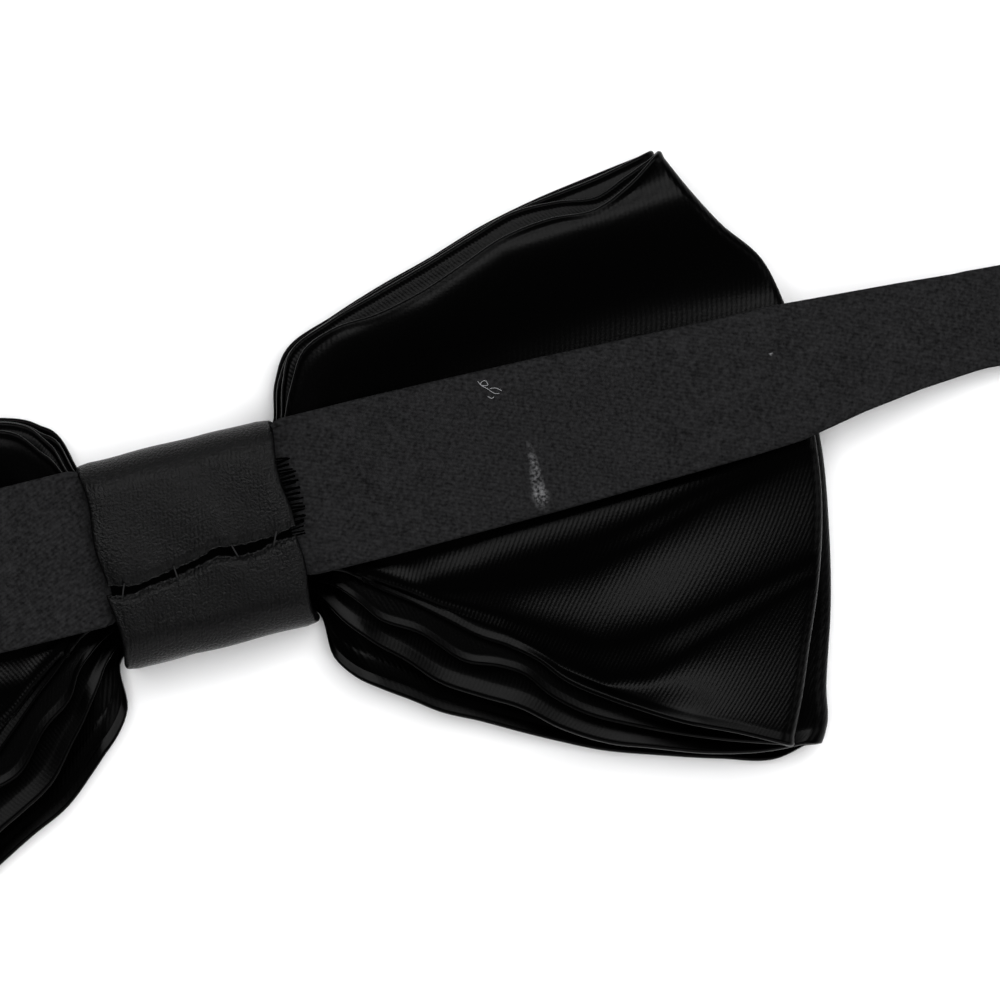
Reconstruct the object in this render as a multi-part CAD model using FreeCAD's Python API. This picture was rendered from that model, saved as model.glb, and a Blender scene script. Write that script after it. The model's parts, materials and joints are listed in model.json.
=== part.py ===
"""Pre-tied butterfly bow tie with an adjustable neck band, as separate pieces. Millimetres.

The tie lies face down. X runs along the neck band, Y is the height of the bow as worn, +Z is the back, which
the wearer's collar touches. The origin is the middle of the knot's front face, which the tie rests on.

The bow is two flattened loops of satin, one behind the other, gathered at the middle by a thread. A wrap of
the same satin closes round the gather and round the neck band, and its two ends are sewn together at the back.
The band runs left to a metal eye. It runs right through a three-bar adjuster and round the bar of a hook, and
returns to the adjuster. The band is one piece of cloth: it is cut here where it bends, so that its stretches
can turn.
"""
import FreeCAD, Part
import math
import os

V = FreeCAD.Vector

# Knot: a flattened tube of cloth round the middle of the bow.
KNOT_WIDTH = 19.6
KNOT_HEIGHT = 21.4
KNOT_DEPTH = 14.0
KNOT_CORNER = 3.5
WRAP_WALL = 1.4
SEAM_Y = -1.8
SEAM_GAP = 0.4
SEAM_STITCHES = 6
SEAM_THREAD_RADIUS = 0.15

# Cloth: a satin skin on each side of an interlining.
SHEET = 1.3
SKIN = 0.3
EASE = 0.05
HEM = 1.4
GATHER_HALF_HEIGHT = 8.6
THREAD_RADIUS = 0.22
THREAD_TURNS = (-2.4, 0.0, 2.4)
THREAD_CLEARANCE = 0.12

# Neck band.
BAND_Y = 2.2
BAND = 1.1
BAND_SKIN = 0.25
BAND_HEM = 0.9
BAND_AT_KNOT = 8.0
BAND_AT_TIP = 7.0
BAND_NARROW = 5.0
BAND_IN_KNOT = (-5.6, 7.9)
BAND_TOP = 12.4
LIFT_X = 10.6
WRAP_X = 100.0
CUT_GAP = 0.05
LEFT_LEVEL = 0.2
RIGHT_LEVEL = 1.2
BAND_WIDTHS = [(LIFT_X, BAND_AT_KNOT), (36, 7.7), (61, BAND_AT_TIP), (74, 5.9), (86, BAND_NARROW)]
BAND_HEIGHTS = [(LIFT_X, BAND_TOP - BAND / 2), (28, 12.2), (44, 12.1), (60, 11.3), (80, 5.4)]

# Hardware. The hook is at its innermost place, and moves out half as far as the adjuster does.
BAR_RADIUS = 0.8
BAR_Z = 2.2
LOOP_INNER = 0.95
LOOP_WALL = 0.9
RAIL_Y = 6.2
EYE_X = 190.0
EYE_LENGTH = 11.0
HOOK_X = 165.0
HOOK_PLATE_START = 6.0
HOOK_PLATE_END = 14.0
HOOK_PLATE = 0.9
HOOK_PLATE_HALF_WIDTH = 4.2
HOOK_TONGUE = 6.5
HOOK_CURL = BAR_RADIUS + 0.1
SLIDE_X = 112.0
SLIDE_HALF_LENGTH = 4.0
SLIDE_BAR_RADIUS = 0.5
SLIDE_RAIL_Y = 5.4
SLIDE_RAIL = 1.0
SLIDE_PLATE_MARGIN = 0.1
SLIDE_BOTTOM = 0.12
TAB_EASE = 0.1
TAB_LENGTH = 7.0
TAB_SEWN = 3.0
TAB_WALL = 0.6
RETURN_BOTTOM = 2.9
RETURN = 0.8
TONGUE_BOTTOM = 2.4
TONGUE = 0.4
TONGUE_LENGTH = 20.3
LOOP_NECK = 6.0
LOOP_ROOT = 1.0
EYE_TAB_LENGTH = 13.0
EYE_TACK = 2.0
STITCH_RADIUS = 0.15
STITCH_LENGTH = 1.4

# How far the tools that cut the cloth reach past it.
TALL = (-5.0, 25.0)
BEYOND_BOW = 45.0
BEYOND_BAND = 300.0


def mirrored(shape):
    """The same shape on the left side."""
    return shape.mirror(V(0, 0, 0), V(1, 0, 0))


def spline(points, level=False):
    """An edge through points, flat in Z at both ends if level."""
    curve = Part.BSplineCurve()
    if level:
        curve.interpolate(Points=points, InitialTangent=V(1, 0, 0), FinalTangent=V(1, 0, 0))
    else:
        curve.interpolate(Points=points)
    return curve.toShape()


def face_of(edges):
    return Part.Face(Part.Wire(Part.__sortEdges__(edges)))


def polygon(points):
    return Part.Face(Part.makePolygon(points + points[:1]))


def flat_xz(start, end, low, high):
    """A rectangle in XZ."""
    return polygon([V(start, 0, low), V(end, 0, low), V(end, 0, high), V(start, 0, high)])


def extruded_y(face, low, high):
    """A face in the XZ plane, drawn at Y 0, as a solid from Y low to high."""
    face.translate(V(0, low, 0))
    return face.extrude(V(0, high - low, 0))


def extruded_z(face, low=TALL[0], high=TALL[1]):
    face.translate(V(0, 0, low))
    return face.extrude(V(0, 0, high - low))


# ---- The bow's two loops --------------------------------------------------------------------------------

# Each loop's section in XZ: its outer heights from the gather to near the tip.
# Its outline in XY: the top edge, tip and bottom edge of the right wing.
BACK_LOOP = {
    "reach": 62.4,
    "tip_z": 8.7,
    "top": [(0, 10.0), (9, 10.0), (22, 10.6), (38, 11.0), (50, 10.8), (60.9, 10.2)],
    "bottom": [(0, 7.0), (9, 7.0), (22, 6.5), (38, 6.3), (50, 6.7), (60.9, 7.2)],
    "upper_edge": [(10, 9.2), (13, 15.6), (23, 19.8), (38, 23.8), (53.5, 26.8)],
    "tip_edge": [(53.5, 26.8), (58.4, 18.0), (62.3, 4.0), (60.0, -16.0), (53.4, -33.2)],
    "lower_edge": [(53.4, -33.2), (43, -29.6), (31, -23.2), (19, -13.8), (10, -7.2)],
}
FRONT_LOOP = {
    "reach": 62.8,
    "tip_z": 3.4,
    "top": [(0, 6.0), (9, 6.0), (22, 5.8), (38, 5.7), (50, 5.8), (60.9, 5.3)],
    "bottom": [(0, 3.0), (9, 3.0), (22, 1.3), (38, 0.6), (50, 0.8), (60.9, 1.5)],
    "upper_edge": [(10, 9.8), (12, 15.6), (23, 20.6), (38, 24.8), (53.0, 27.4)],
    "tip_edge": [(53.0, 27.4), (58.6, 18.4), (62.7, 2.0), (60.4, -18.0), (55.4, -33.8)],
    "lower_edge": [(55.4, -33.8), (43, -32.6), (30, -27.8), (16.8, -20.2), (10, -11.0)],
}


def loop_section(loop, inset):
    """The XZ face inside a loop's outer surface moved in by inset, for both wings at once."""
    top = [V(x, 0, z - inset) for x, z in loop["top"]]
    bottom = [V(x, 0, z + inset) for x, z in loop["bottom"]]
    far = V(loop["reach"] - inset, 0, loop["tip_z"])

    def both(points):
        return [V(-p.x, 0, p.z) for p in reversed(points[1:])] + points

    def turn(sign):
        ends = [V(sign * p.x, 0, p.z) for p in (top[-1], far, bottom[-1])]
        return Part.Arc(*ends).toShape()

    return face_of([spline(both(top)), turn(1), spline(both(bottom)), turn(-1)])


def bow_outline(loop, inset):
    """The XY face of both wings, its edges moved in by inset."""
    def moved(points, dx, dy):
        return [V(x + dx, y + dy, 0) for x, y in points]

    upper = moved(loop["upper_edge"], 0, -inset)
    lower = moved(loop["lower_edge"], 0, inset)
    tip = [upper[-1]] + moved(loop["tip_edge"][1:-1], -inset, 0) + [lower[0]]
    waist = GATHER_HALF_HEIGHT - inset
    upper_start = V(upper[0].x, min(upper[0].y, waist), 0)
    lower_end = V(lower[-1].x, max(lower[-1].y, -waist), 0)
    right = [spline([upper_start] + upper[1:]), spline(tip), spline(lower[:-1] + [lower_end])]
    left = [mirrored(edge) for edge in right]
    across = [
        Part.makeLine(V(-upper_start.x, upper_start.y, 0), upper_start),
        Part.makeLine(V(-lower_end.x, lower_end.y, 0), lower_end),
    ]
    return face_of(right + left + across)


def ribbon(loop, outer, inner, edge):
    """The part of a loop's cloth between two depths under its outer surface, its edges moved in by edge."""
    def block(inset):
        return extruded_y(loop_section(loop, inset), -BEYOND_BOW, BEYOND_BOW)

    strip = block(outer).cut(block(inner))
    return strip.common(extruded_z(bow_outline(loop, edge)))


def bow_loop(loop):
    """A loop's satin shell, and the interlining sealed inside it."""
    cloth = ribbon(loop, 0, SHEET, 0)
    pocket = ribbon(loop, SKIN, SHEET - SKIN, HEM)
    lining = ribbon(loop, SKIN + EASE, SHEET - SKIN - EASE, HEM + EASE)
    return cloth.cut(pocket), lining


# ---- The knot -------------------------------------------------------------------------------------------


def rounded_yz(half_height, low, high, corner, x):
    """A rounded rectangle's wire in the plane X = x."""
    square = Part.makePolygon([V(x, -half_height, low), V(x, half_height, low), V(x, half_height, high),
                               V(x, -half_height, high), V(x, -half_height, low)])
    solid = Part.Face(square).extrude(V(1, 0, 0))
    uprights = [e for e in solid.Edges if abs(e.tangentAt(e.FirstParameter).x) > 0.99]
    rounded = solid.makeFillet(corner, uprights)
    face = [f for f in rounded.Faces if abs(f.CenterOfMass.x - x) < 1e-6][0]
    return face.OuterWire


def wrap_ring(outer, inner, width):
    """The wrap's wall between two depths under its surface, width long in X and open at the seam."""
    def tube(inset):
        half_height = KNOT_HEIGHT / 2 - inset
        wire = rounded_yz(half_height, inset, KNOT_DEPTH - inset, KNOT_CORNER - inset, -width / 2)
        return Part.Face(wire).extrude(V(width, 0, 0))

    return tube(outer).cut(tube(inner))


def seam_slot(gap, width):
    corner = V(-width / 2, SEAM_Y - gap / 2, KNOT_DEPTH - 1.5 * WRAP_WALL)
    return Part.makeBox(width, gap, 2 * WRAP_WALL, corner)


def knot_wrap():
    """The satin wrap with its interlining. Its ends meet in a slot at the back."""
    slot = seam_slot(SEAM_GAP, 2 * KNOT_WIDTH)
    end_hems = seam_slot(SEAM_GAP + 2 * HEM, 2 * KNOT_WIDTH)
    lining_width = KNOT_WIDTH - 2 * HEM
    pocket = wrap_ring(SKIN, WRAP_WALL - SKIN, lining_width).cut(end_hems)
    wider_hems = seam_slot(SEAM_GAP + 2 * HEM + 2 * EASE, 2 * KNOT_WIDTH)
    lining = wrap_ring(SKIN + EASE, WRAP_WALL - SKIN - EASE, lining_width - 2 * EASE).cut(wider_hems)
    shell = wrap_ring(0, WRAP_WALL, KNOT_WIDTH).cut(slot).cut(pocket)
    return shell, lining


def seam_stitches():
    """Short threads across the slot, from one end of the wrap to the other."""
    spacing = KNOT_WIDTH / SEAM_STITCHES
    threads = []
    for i in range(SEAM_STITCHES):
        x = (i - (SEAM_STITCHES - 1) / 2) * spacing
        start = V(x, SEAM_Y - SEAM_GAP / 2, KNOT_DEPTH - 2 * SEAM_THREAD_RADIUS)
        threads.append(Part.makeCylinder(SEAM_THREAD_RADIUS, SEAM_GAP, start, V(0, 1, 0)))
    return Part.makeCompound(threads)


def gather_thread():
    """Turns of thread round the middle of the bow, under the wrap."""
    clear = THREAD_RADIUS + THREAD_CLEARANCE
    turns = []
    for x in THREAD_TURNS:
        path = rounded_yz(GATHER_HALF_HEIGHT + clear, FRONT_LOOP["bottom"][0][1] - clear,
                          BACK_LOOP["top"][0][1] + clear, clear, x)
        start = path.Edges[0].Vertexes[0].Point
        along = path.Edges[0].tangentAt(path.Edges[0].FirstParameter)
        section = Part.Wire(Part.makeCircle(THREAD_RADIUS, start, along))
        turns.append(path.makePipeShell([section], True, True))
    return Part.makeCompound(turns)


# ---- The neck band --------------------------------------------------------------------------------------


def band_outline(start, end, hem):
    """The XY face of the right half of the band between two X, its long edges moved in by hem."""
    edges = []
    for sign in (1, -1):
        shaped = [V(x, BAND_Y + sign * (half_width - hem), 0) for x, half_width in BAND_WIDTHS]
        edges.append(spline(shaped))
        edges.append(Part.makeLine(shaped[-1], V(BEYOND_BAND, BAND_Y + sign * (BAND_NARROW - hem), 0)))
    for x, half_width in (BAND_WIDTHS[0], (BEYOND_BAND, BAND_NARROW)):
        half = half_width - hem
        edges.append(Part.makeLine(V(x, BAND_Y - half, 0), V(x, BAND_Y + half, 0)))
    window = Part.makeBox(end - start, 2 * BEYOND_BOW, 2 * BEYOND_BOW, V(start, -BEYOND_BOW, -BEYOND_BOW))
    return extruded_z(face_of(edges)).common(window)


def band_section(level, inset):
    """The XZ face of the band from the knot, over the wing and down to its level, then on in a line."""
    half = BAND / 2
    line = [V(x, 0, z) for x, z in BAND_HEIGHTS + [(WRAP_X - 2, level + half)]]
    edges = []
    for sign in (1, -1):
        shift = V(0, 0, sign * (half - inset))
        side = [p + shift for p in line]
        edges.append(spline(side, level=True))
        edges.append(Part.makeLine(side[-1], V(BEYOND_BAND, 0, side[-1].z)))
    for x, z in (BAND_HEIGHTS[0], (BEYOND_BAND, level + half)):
        edges.append(Part.makeLine(V(x, 0, z - half + inset), V(x, 0, z + half - inset)))
    return face_of(edges)


def band_stretch(level, start, end):
    """A stretch of the band's satin tube, open at both cuts, and the interlining in it."""
    def solid(inset, hem, short=0):
        outline = band_outline(start + short, end - short, hem)
        return extruded_y(band_section(level, inset), -BEYOND_BOW, BEYOND_BOW).common(outline)

    shell = solid(0, 0).cut(solid(BAND_SKIN, BAND_HEM))
    return shell, solid(BAND_SKIN + EASE, BAND_HEM + EASE, EASE)


def band_centre():
    """The stretch that the wrap holds, drawn narrower to pass through it."""
    low, high = BAND_IN_KNOT

    def solid(inset, hem):
        return Part.makeBox(2 * LIFT_X, high - low - 2 * hem, BAND - 2 * inset,
                            V(-LIFT_X, low + hem, BAND_TOP - BAND + inset))

    shell = solid(0, 0).cut(solid(BAND_SKIN, BAND_HEM))
    return shell, solid(BAND_SKIN + EASE, BAND_HEM + EASE)


# ---- Strap ends and hardware ----------------------------------------------------------------------------


def strap_loop(x, inner, wall, z, mouth):
    """The half of a strap's turn round a bar at x that faces towards mouth, 1 for +X or -1: an XZ face."""
    circles = [Part.makeCircle(r, V(x, 0, z), V(0, 1, 0)) for r in (inner + wall, inner)]
    disc, hole = [Part.Face(Part.Wire(circle)) for circle in circles]
    reach = 2 * (inner + wall)
    mouth_side = flat_xz(*sorted((x, x - mouth * reach)), z - reach, z + reach)
    return disc.cut(hole).cut(mouth_side)


def strap_leg(x_loop, z_inner, z_outer, x_end, low, high):
    """A strap leg from a loop's side to a flat strap's end: an XZ face."""
    return polygon([V(x_loop, 0, z_inner), V(x_loop, 0, z_outer), V(x_end, 0, high), V(x_end, 0, low)])


def strap_solid(faces):
    solids = [extruded_y(face, BAND_Y - BAND_NARROW, BAND_Y + BAND_NARROW) for face in faces]
    fused = solids[0]
    for other in solids[1:]:
        fused = fused.fuse(other)
    return fused.removeSplitter()


def bar(radius, x, z, half_length):
    return Part.makeCylinder(radius, 2 * half_length, V(x, BAND_Y - half_length, z), V(0, 1, 0))


def rail(radius, start, end, y, z):
    return Part.makeCylinder(radius, end - start, V(start, BAND_Y + y, z), V(1, 0, 0))


def rectangular_ring(near, far):
    """A wire ring: two bars across the strap and two rails beside it, with ball corners."""
    pieces = [bar(BAR_RADIUS, x, BAR_Z, RAIL_Y) for x in (near, far)]
    for y in (-RAIL_Y, RAIL_Y):
        pieces.append(rail(BAR_RADIUS, near, far, y, BAR_Z))
        for x in (near, far):
            pieces.append(Part.makeSphere(BAR_RADIUS, V(x, BAND_Y + y, BAR_Z)))
    ring = pieces[0]
    for other in pieces[1:]:
        ring = ring.fuse(other)
    return ring.removeSplitter()


def hook():
    """A wire ring for the strap, with a flat tongue that curls up and back over itself."""
    low = BAR_Z - HOOK_PLATE / 2
    high = BAR_Z + HOOK_PLATE / 2
    start = HOOK_X + HOOK_PLATE_START
    end = HOOK_X + HOOK_PLATE_END
    centre = high + HOOK_CURL
    top = centre + HOOK_CURL
    outer = HOOK_CURL + HOOK_PLATE
    tip = end - HOOK_TONGUE
    edges = [
        Part.makeLine(V(start, 0, low), V(end, 0, low)),
        Part.Arc(V(end, 0, low), V(end + outer, 0, centre), V(end, 0, top + HOOK_PLATE)).toShape(),
        Part.makeLine(V(end, 0, top + HOOK_PLATE), V(tip, 0, top + HOOK_PLATE)),
        Part.Arc(V(tip, 0, top + HOOK_PLATE), V(tip - HOOK_PLATE / 2, 0, top + HOOK_PLATE / 2),
                 V(tip, 0, top)).toShape(),
        Part.makeLine(V(tip, 0, top), V(end, 0, top)),
        Part.Arc(V(end, 0, top), V(end + HOOK_CURL, 0, centre), V(end, 0, high)).toShape(),
        Part.makeLine(V(end, 0, high), V(start, 0, high)),
        Part.makeLine(V(start, 0, high), V(start, 0, low)),
    ]
    plate = extruded_y(face_of(edges), BAND_Y - HOOK_PLATE_HALF_WIDTH, BAND_Y + HOOK_PLATE_HALF_WIDTH)
    return rectangular_ring(HOOK_X, start).fuse(plate).removeSplitter()


def adjuster_slide():
    """Three bars between two arched side plates. The band runs over the outer bars, under the middle one."""
    middle_z = slide_bar_z()
    half_length = SLIDE_RAIL_Y + SLIDE_RAIL / 2
    outer_z = SLIDE_BOTTOM + SLIDE_BAR_RADIUS
    first, last = SLIDE_X - SLIDE_HALF_LENGTH, SLIDE_X + SLIDE_HALF_LENGTH
    places = [(first, outer_z), (SLIDE_X, middle_z), (last, outer_z)]
    frame = None
    for x, z in places:
        piece = bar(SLIDE_BAR_RADIUS, x, z, half_length)
        frame = piece if frame is None else frame.fuse(piece)
    for side in (-1, 1):
        frame = frame.fuse(slide_plate(side, places))
    return frame.removeSplitter()


def slide_plate(side, places):
    """A side plate of the adjuster: straight links between round ends at the three bars."""
    radius = SLIDE_BAR_RADIUS + SLIDE_PLATE_MARGIN
    inner = BAND_Y + side * SLIDE_RAIL_Y
    start = min(inner, inner + side * SLIDE_RAIL)
    plate = None
    for (x0, z0), (x1, z1) in zip(places, places[1:] + places[:1]):
        length = math.hypot(x1 - x0, z1 - z0)
        across = V(-(z1 - z0) / length * radius, 0, (x1 - x0) / length * radius)
        a, b = V(x0, start, z0), V(x1, start, z1)
        link = Part.Face(Part.makePolygon([a + across, b + across, b - across, a - across, a + across]))
        link = link.extrude(V(0, SLIDE_RAIL, 0))
        end = Part.makeCylinder(radius, SLIDE_RAIL, a, V(0, 1, 0))
        piece = link.fuse(end)
        plate = piece if plate is None else plate.fuse(piece)
    return plate


def slide_bar_z():
    """The height of the adjuster's middle bar: its strap tab lies just over the band."""
    return RIGHT_LEVEL + BAND + TAB_EASE + TAB_WALL + TAB_EASE + SLIDE_BAR_RADIUS


def adjuster_tab():
    """The strap's sewn end, round the adjuster's middle bar."""
    z = slide_bar_z()
    inner = SLIDE_BAR_RADIUS + TAB_EASE
    outer = inner + TAB_WALL
    end = SLIDE_X + TAB_LENGTH
    sewn = end - TAB_SEWN
    middle = RETURN_BOTTOM + RETURN / 2
    top = RETURN_BOTTOM + RETURN
    return strap_solid([
        strap_loop(SLIDE_X, inner, TAB_WALL, z, -1),
        strap_leg(SLIDE_X, z - inner, z - outer, sewn, middle, RETURN_BOTTOM),
        strap_leg(SLIDE_X, z + inner, z + outer, sewn, middle, top),
        flat_xz(sewn, end, RETURN_BOTTOM, top),
    ])


def return_strap():
    """The strap from the adjuster back to the hook."""
    start = SLIDE_X + TAB_LENGTH + CUT_GAP
    end = HOOK_X - LOOP_NECK - CUT_GAP
    return Part.makeBox(end - start, 2 * BAND_NARROW, RETURN, V(start, BAND_Y - BAND_NARROW, RETURN_BOTTOM))


def hook_strap_loop():
    """The strap's turn round the hook's bar, and the band that it draws out from under the return strap."""
    neck = HOOK_X - LOOP_NECK
    outer = LOOP_INNER + LOOP_WALL
    tongue = flat_xz(neck - TONGUE_LENGTH, neck, TONGUE_BOTTOM, TONGUE_BOTTOM + TONGUE)
    root = flat_xz(neck, neck + LOOP_ROOT, RIGHT_LEVEL + BAND / 2, RETURN_BOTTOM + RETURN / 2)
    return strap_solid([
        strap_loop(HOOK_X, LOOP_INNER, LOOP_WALL, BAR_Z, 1),
        strap_leg(HOOK_X, BAR_Z - LOOP_INNER, BAR_Z - outer, neck, RIGHT_LEVEL + BAND, RIGHT_LEVEL),
        strap_leg(HOOK_X, BAR_Z + LOOP_INNER, BAR_Z + outer, neck, RETURN_BOTTOM, RETURN_BOTTOM + RETURN),
        root,
        tongue,
    ])


def eye_loop():
    """The band's left end, round the eye's bar and back on itself. Drawn on the right side."""
    outer = LOOP_INNER + LOOP_WALL
    neck = EYE_X - LOOP_NECK
    tab_end = EYE_X - EYE_TAB_LENGTH
    top = LEFT_LEVEL + BAND
    return strap_solid([
        strap_loop(EYE_X, LOOP_INNER, LOOP_WALL, BAR_Z, 1),
        strap_leg(EYE_X, BAR_Z - LOOP_INNER, BAR_Z - outer, neck, top, LEFT_LEVEL),
        strap_leg(EYE_X, BAR_Z + LOOP_INNER, BAR_Z + outer, neck, top, top + LOOP_WALL),
        flat_xz(tab_end, neck, top, top + LOOP_WALL),
    ])


def bar_tack(x, z):
    """A close row of thread across a strap, lying on it."""
    pitch = 3 * STITCH_RADIUS
    count = int(1.5 * BAND_NARROW / pitch)
    threads = []
    for i in range(count):
        y = BAND_Y + (i - (count - 1) / 2) * pitch
        start = V(x - STITCH_LENGTH / 2, y, z + STITCH_RADIUS)
        threads.append(Part.makeCylinder(STITCH_RADIUS, STITCH_LENGTH, start, V(1, 0, 0)))
    return Part.makeCompound(threads)


# ---- Nodes ----------------------------------------------------------------------------------------------


def nodes():
    """Every node's name and shape."""
    made = {}
    made["back_bow_shell"], made["back_bow_interlining"] = bow_loop(BACK_LOOP)
    made["front_bow_shell"], made["front_bow_interlining"] = bow_loop(FRONT_LOOP)
    made["gather_thread"] = gather_thread()
    made["knot_wrap_shell"], made["knot_wrap_interlining"] = knot_wrap()
    made["knot_seam_stitches"] = seam_stitches()
    made["neck_band_centre"], made["band_interlining_centre"] = band_centre()
    right_end = HOOK_X - LOOP_NECK - CUT_GAP
    left_end = EYE_X - LOOP_NECK
    for side, level, end in (("right", RIGHT_LEVEL, right_end), ("left", LEFT_LEVEL, left_end)):
        for part, start, stop in (("inner", LIFT_X + CUT_GAP, WRAP_X), ("outer", WRAP_X + CUT_GAP, end)):
            shell, lining = band_stretch(level, start, stop)
            if side == "left" and part == "outer":
                shell = shell.fuse(eye_loop()).removeSplitter()
            if side == "left":
                shell, lining = mirrored(shell), mirrored(lining)
            made[f"neck_band_{side}_{part}"] = shell
            made[f"band_interlining_{side}_{part}"] = lining
    made["adjuster_slide"] = adjuster_slide()
    made["adjuster_strap_tab"] = adjuster_tab()
    made["adjuster_tab_stitches"] = bar_tack(SLIDE_X + TAB_LENGTH - TAB_SEWN / 2, RETURN_BOTTOM + RETURN)
    made["return_strap"] = return_strap()
    made["hook_strap_loop"] = hook_strap_loop()
    made["hook"] = hook()
    made["eye"] = mirrored(rectangular_ring(EYE_X, EYE_X + EYE_LENGTH))
    tack_x = EYE_X - EYE_TAB_LENGTH + EYE_TACK
    made["eye_tab_stitches"] = mirrored(bar_tack(tack_x, LEFT_LEVEL + BAND + LOOP_WALL))
    return made


os.makedirs("parts", exist_ok=True)
for name, shape in nodes().items():
    if not shape.isValid() or not shape.Solids:
        raise ValueError(f"{name} isn't a valid solid")
    shape.exportStep(f"parts/{name}.step")
    box = shape.BoundBox
    print(f"{name:32s} {len(shape.Solids):3d} solids {shape.Volume:9.2f} mm3  "
          f"x {box.XMin:7.1f} {box.XMax:7.1f}  y {box.YMin:6.1f} {box.YMax:6.1f}  "
          f"z {box.ZMin:5.2f} {box.ZMax:5.2f}")
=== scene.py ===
"""Looks of the pre-tied bow tie, lying face down, seen from straight above its right wing.

The cloth is modelled as it is sewn: each bow is a flattened loop of doubled satin with rolled edges, folded
at the wing's tip and gathered under the knot. Outlines are in millimetres in the frame's XY plane. Heights
come from the CAD nodes' boxes. The left wing is the right one mirrored, with its own small unevenness.
"""
import json
import math

import bpy
import numpy as np
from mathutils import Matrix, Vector
from mathutils.bvhtree import BVHTree

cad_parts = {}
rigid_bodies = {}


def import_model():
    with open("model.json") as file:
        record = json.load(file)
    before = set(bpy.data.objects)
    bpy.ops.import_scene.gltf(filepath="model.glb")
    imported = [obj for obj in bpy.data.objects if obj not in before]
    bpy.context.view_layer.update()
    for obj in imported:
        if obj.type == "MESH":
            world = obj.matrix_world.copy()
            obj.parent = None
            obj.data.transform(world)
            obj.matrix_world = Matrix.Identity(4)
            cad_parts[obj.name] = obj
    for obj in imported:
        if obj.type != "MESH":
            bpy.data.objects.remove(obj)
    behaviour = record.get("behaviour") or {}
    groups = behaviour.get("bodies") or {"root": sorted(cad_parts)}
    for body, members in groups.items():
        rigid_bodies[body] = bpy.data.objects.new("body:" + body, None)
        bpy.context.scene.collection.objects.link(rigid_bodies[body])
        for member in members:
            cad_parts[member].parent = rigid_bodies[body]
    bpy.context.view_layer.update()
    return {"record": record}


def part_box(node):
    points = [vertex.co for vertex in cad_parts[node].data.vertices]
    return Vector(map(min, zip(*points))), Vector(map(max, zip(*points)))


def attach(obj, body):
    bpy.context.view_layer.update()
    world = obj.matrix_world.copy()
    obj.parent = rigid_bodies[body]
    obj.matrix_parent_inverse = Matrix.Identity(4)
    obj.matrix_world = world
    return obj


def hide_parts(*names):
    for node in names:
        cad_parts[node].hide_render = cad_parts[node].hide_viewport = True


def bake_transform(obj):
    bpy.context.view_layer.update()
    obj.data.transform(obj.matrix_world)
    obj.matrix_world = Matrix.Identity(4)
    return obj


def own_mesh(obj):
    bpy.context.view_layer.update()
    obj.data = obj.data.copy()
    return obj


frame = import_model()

MM = 0.001
ROOT = "bow_and_knot"

# The layers' edges on the right wing, from the knot outwards. The back bow's near and far layers are
# "back_near" and "back_far", and the front bow's are "front_near" and "front_far".
UPPER_EDGES = {
    "back_near": [(7.5, 6.6), (10.2, 8.3), (12.6, 12.8), (15.0, 16.4), (18.4, 17.7), (22.7, 18.0), (28, 19.2),
                  (32.2, 20.7), (36.8, 22.4), (41.8, 23.1), (46.5, 22.9), (50.2, 24.4)],
    "back_far": [(7.5, 7.3), (10.2, 8.9), (12.0, 13.7), (13.2, 16.2), (18.2, 18.6), (23.2, 20.1), (29, 21.8),
                 (34, 23.4), (38.4, 24.7), (43, 24.7), (47, 24.2), (50.2, 25.4)],
    "front_near": [(7.5, 7.6), (9.7, 9.0), (11.5, 13.8), (13.15, 16.3), (18.4, 18.8), (23.4, 20.5),
                   (29.1, 22.1), (35.1, 24.0), (39.6, 25.0), (47.9, 26.2)],
    "front_far": [(7.5, 7.9), (9.45, 9.2), (11.1, 13.8), (12.75, 16.6), (18.6, 19.15), (23.5, 20.8),
                  (29.2, 22.4), (35.2, 24.3), (39.6, 25.3), (47.9, 26.6)],
}
LOWER_EDGES = {
    "back_near": [(7.5, -3.8), (10.2, -5.0), (13.7, -6.4), (16.4, -8.8), (19.2, -10.9), (22.5, -13.7),
                  (24.9, -15.8), (27.6, -17.5), (30.1, -19.6), (32.0, -21.9), (36, -25), (38.8, -26.8),
                  (42.4, -28.9), (48, -31.5)],
    "back_far": [(7.5, -4.8), (10.2, -6.3), (12.1, -7.3), (14.1, -9.5), (15.7, -11.7), (19.2, -14),
                 (23.3, -18.1), (26.1, -19.2), (28.4, -20.6), (30.3, -23.1), (32.8, -25.4), (38.8, -28.7),
                 (45.7, -31.6)],
    "front_near": [(7.5, -6.0), (10.2, -7.9), (12.5, -11.4), (14.8, -14.2), (17.1, -16.3), (20, -19.4),
                   (23.6, -21.7), (27.2, -23.8), (30.6, -26.7), (35.1, -29.4), (38.9, -30.8), (44.6, -32.8),
                   (50.4, -34.0)],
    "front_far": [(7.5, -7.4), (9.7, -9.3), (10.4, -14.6), (12.2, -17.0), (14.1, -18.5), (16.7, -20.3),
                  (19.3, -22.2), (23, -24.1), (26.6, -26.1), (30.2, -28), (33.9, -29.8), (39.6, -31.8),
                  (45.4, -33.6), (51, -35)],
}
# The folds at the wing's tip, from the lower corner to the upper one.
TIPS = {
    "back": [(52.4, -33.8), (54.2, -30.4), (56.5, -24.9), (59.5, -17.4), (61.7, -9.2), (62.4, -3), (62.7, 4),
             (62.4, 10), (61.4, 14), (58.3, 18.3), (56, 22.5), (54, 26.9)],
    "front": [(54.9, -34.2), (56.0, -33.2), (57.2, -28.9), (59.8, -20.6), (61.5, -13), (62.6, -6), (62.5, 4),
              (61.8, 10), (60.45, 14), (57.5, 18.3), (54.8, 23.15), (53.0, 27.3)],
}

# Half the satin's thickness away from its edges.
CLOTH_HALF = 0.17
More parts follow.
